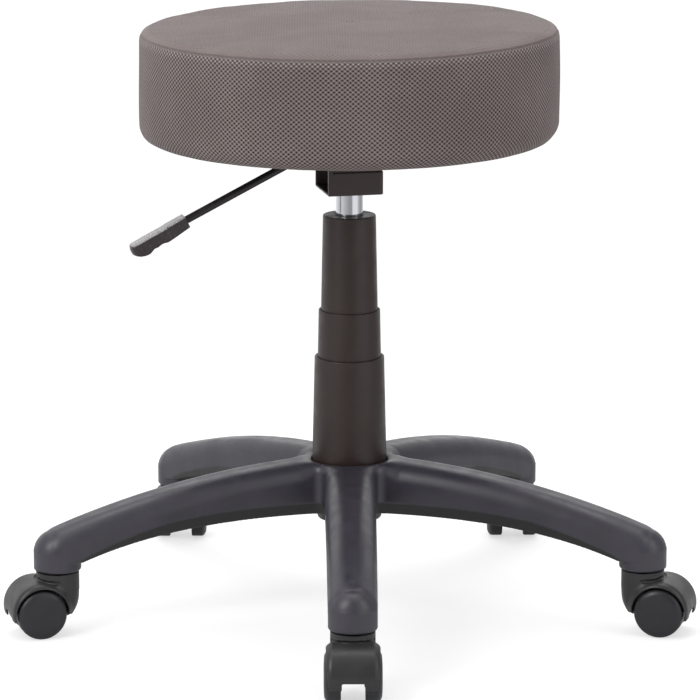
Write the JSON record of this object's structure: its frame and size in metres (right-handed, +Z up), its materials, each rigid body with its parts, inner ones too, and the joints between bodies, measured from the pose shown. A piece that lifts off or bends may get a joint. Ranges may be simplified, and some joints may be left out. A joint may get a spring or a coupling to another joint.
{
  "type": "adjustable swivel stool",
  "caption": "Round padded swivel stool with gas-lift height adjustment by a side lever, telescopic column covers and a five-star base on twin-wheel casters.",
  "frame": {"origin": "on the floor at the centre of the footprint; the swivel axis stands 29.6 mm behind it, towards +Y", "axes": "+X to the stool's right as seen from the front leg, +Y from the front leg to the rear, +Z up"},
  "size_m": [0.7016, 0.6658, 0.6015],
  "materials": {
    "seat_fabric": "grey mesh weave",
    "foam": "open-cell foam",
    "plywood": "raw birch plywood",
    "black_cloth": "non-woven black cloth",
    "black_steel": "satin black powder coat",
    "zinc_steel": "zinc plated",
    "chrome": "polished chrome",
    "cover_plastic": "satin moulded",
    "base_nylon": "fine moulded texture",
    "caster_nylon": "satin moulded",
    "wheel_nylon": "smooth moulded",
    "grip_plastic": "satin moulded",
    "rubber": "moulded rubber",
    "white_plastic": "natural acetal"
  },
  "bodies": {
    "base": {"star_base": "base_nylon", "hub_ring": "zinc_steel", "outer_column_tube": "black_steel", "guide_bush": "white_plastic", "bearing_lower_race": "zinc_steel", "ball_cage": "white_plastic", "lower_sleeve": "cover_plastic", "caster_front_stem": "zinc_steel", "caster_right_stem": "zinc_steel", "caster_rear_right_stem": "zinc_steel", "caster_rear_left_stem": "zinc_steel", "caster_left_stem": "zinc_steel"},
    "rotor": {"piston_rod": "chrome", "piston": "zinc_steel", "bearing_upper_race": "zinc_steel", "rubber_bumper": "rubber", "retaining_clip": "zinc_steel"},
    "seat": {"seat_cover": "seat_fabric", "foam_pad": "foam", "seat_board": "plywood", "dust_cover": "black_cloth", "t_nut_1": "zinc_steel", "t_nut_2": "zinc_steel", "t_nut_3": "zinc_steel", "t_nut_4": "zinc_steel", "mounting_plate": "black_steel", "plate_bolt_1": "zinc_steel", "plate_bolt_2": "zinc_steel", "plate_bolt_3": "zinc_steel", "plate_bolt_4": "zinc_steel", "bracket": "black_steel", "taper_socket": "zinc_steel", "lever_pivot_pin": "zinc_steel", "gas_cylinder": "chrome", "rod_guide": "rubber", "upper_sleeve": "cover_plastic"},
    "middle_cover": {"middle_sleeve": "cover_plastic"},
    "lever": {"lever_rod": "black_steel", "lever_grip": "grip_plastic"},
    "button": {"valve_button": "zinc_steel"},
    "caster_front": {"caster_front_housing": "caster_nylon", "caster_front_axle": "zinc_steel"},
    "caster_front_left_wheel": {"caster_front_wheel_left": "wheel_nylon"},
    "caster_front_right_wheel": {"caster_front_wheel_right": "wheel_nylon"},
    "caster_right": {"caster_right_housing": "caster_nylon", "caster_right_axle": "zinc_steel"},
    "caster_right_left_wheel": {"caster_right_wheel_left": "wheel_nylon"},
    "caster_right_right_wheel": {"caster_right_wheel_right": "wheel_nylon"},
    "caster_rear_right": {"caster_rear_right_housing": "caster_nylon", "caster_rear_right_axle": "zinc_steel"},
    "caster_rear_right_left_wheel": {"caster_rear_right_wheel_left": "wheel_nylon"},
    "caster_rear_right_right_wheel": {"caster_rear_right_wheel_right": "wheel_nylon"},
    "caster_rear_left": {"caster_rear_left_housing": "caster_nylon", "caster_rear_left_axle": "zinc_steel"},
    "caster_rear_left_left_wheel": {"caster_rear_left_wheel_left": "wheel_nylon"},
    "caster_rear_left_right_wheel": {"caster_rear_left_wheel_right": "wheel_nylon"},
    "caster_left": {"caster_left_housing": "caster_nylon", "caster_left_axle": "zinc_steel"},
    "caster_left_left_wheel": {"caster_left_wheel_left": "wheel_nylon"},
    "caster_left_right_wheel": {"caster_left_wheel_right": "wheel_nylon"}
  },
  "joints": [
    {"name": "seat_swivel", "type": "hinge", "parent": "base", "child": "rotor", "pos_m": [0, 0.0296, 0.095], "axis": [0, 0, 1], "continuous": true},
    {"name": "seat_lift", "type": "slide", "parent": "rotor", "child": "seat", "axis": [0, 0, 1], "range_m": [-0.12, 0]},
    {"name": "middle_cover_slide", "type": "slide", "parent": "base", "child": "middle_cover", "axis": [0, 0, 1], "range_m": [-0.048, 0]},
    {"name": "lever_tilt", "type": "hinge", "parent": "seat", "child": "lever", "pos_m": [-0.02152, 0.02503, 0.4756], "axis": [-0.2079, 0.9781, 0], "range_deg": [0, 8], "stiffness_Nm_per_rad": 2},
    {"name": "button_press", "type": "slide", "parent": "seat", "child": "button", "axis": [0, 0, 1], "range_m": [-0.0035, 0]},
    {"name": "caster_front_swivel", "type": "hinge", "parent": "base", "child": "caster_front", "pos_m": [0, -0.2804, 0.06], "axis": [0, 0, 1], "continuous": true},
    {"name": "caster_front_left_spin", "type": "hinge", "parent": "caster_front", "child": "caster_front_left_wheel", "pos_m": [0, -0.3024, 0.025], "axis": [1, 0, 0], "continuous": true},
    {"name": "caster_front_right_spin", "type": "hinge", "parent": "caster_front", "child": "caster_front_right_wheel", "pos_m": [0, -0.3024, 0.025], "axis": [1, 0, 0], "continuous": true},
    {"name": "caster_right_swivel", "type": "hinge", "parent": "base", "child": "caster_right", "pos_m": [0.29483, -0.06619, 0.06], "axis": [0, 0, 1], "continuous": true},
    {"name": "caster_right_left_spin", "type": "hinge", "parent": "caster_right", "child": "caster_right_left_wheel", "pos_m": [0.31575, -0.07299, 0.025], "axis": [0.309, 0.9511, 0], "continuous": true},
    {"name": "caster_right_right_spin", "type": "hinge", "parent": "caster_right", "child": "caster_right_right_wheel", "pos_m": [0.31575, -0.07299, 0.025], "axis": [0.309, 0.9511, 0], "continuous": true},
    {"name": "caster_rear_right_swivel", "type": "hinge", "parent": "base", "child": "caster_rear_right", "pos_m": [0.18221, 0.2804, 0.06], "axis": [0, 0, 1], "continuous": true},
    {"name": "caster_rear_right_left_spin", "type": "hinge", "parent": "caster_rear_right", "child": "caster_rear_right_left_wheel", "pos_m": [0.18221, 0.3024, 0.025], "axis": [-1, 0, 0], "continuous": true},
    {"name": "caster_rear_right_right_spin", "type": "hinge", "parent": "caster_rear_right", "child": "caster_rear_right_right_wheel", "pos_m": [0.18221, 0.3024, 0.025], "axis": [-1, 0, 0], "continuous": true},
    {"name": "caster_rear_left_swivel", "type": "hinge", "parent": "base", "child": "caster_rear_left", "pos_m": [-0.18221, 0.2804, 0.06], "axis": [0, 0, 1], "continuous": true},
    {"name": "caster_rear_left_left_spin", "type": "hinge", "parent": "caster_rear_left", "child": "caster_rear_left_left_wheel", "pos_m": [-0.18221, 0.3024, 0.025], "axis": [-1, 0, 0], "continuous": true},
    {"name": "caster_rear_left_right_spin", "type": "hinge", "parent": "caster_rear_left", "child": "caster_rear_left_right_wheel", "pos_m": [-0.18221, 0.3024, 0.025], "axis": [-1, 0, 0], "continuous": true},
    {"name": "caster_left_swivel", "type": "hinge", "parent": "base", "child": "caster_left", "pos_m": [-0.29483, -0.06619, 0.06], "axis": [0, 0, 1], "continuous": true},
    {"name": "caster_left_left_spin", "type": "hinge", "parent": "caster_left", "child": "caster_left_left_wheel", "pos_m": [-0.31575, -0.07299, 0.025], "axis": [0.309, -0.9511, 0], "continuous": true},
    {"name": "caster_left_right_spin", "type": "hinge", "parent": "caster_left", "child": "caster_left_right_wheel", "pos_m": [-0.31575, -0.07299, 0.025], "axis": [0.309, -0.9511, 0], "continuous": true}
  ],
  "couplings": [
    {"joint": "middle_cover_slide", "follows": "seat_lift", "ratio": 0.4},
    {"joint": "button_press", "follows": "lever_tilt", "m_per_rad": -0.0245}
  ]
}
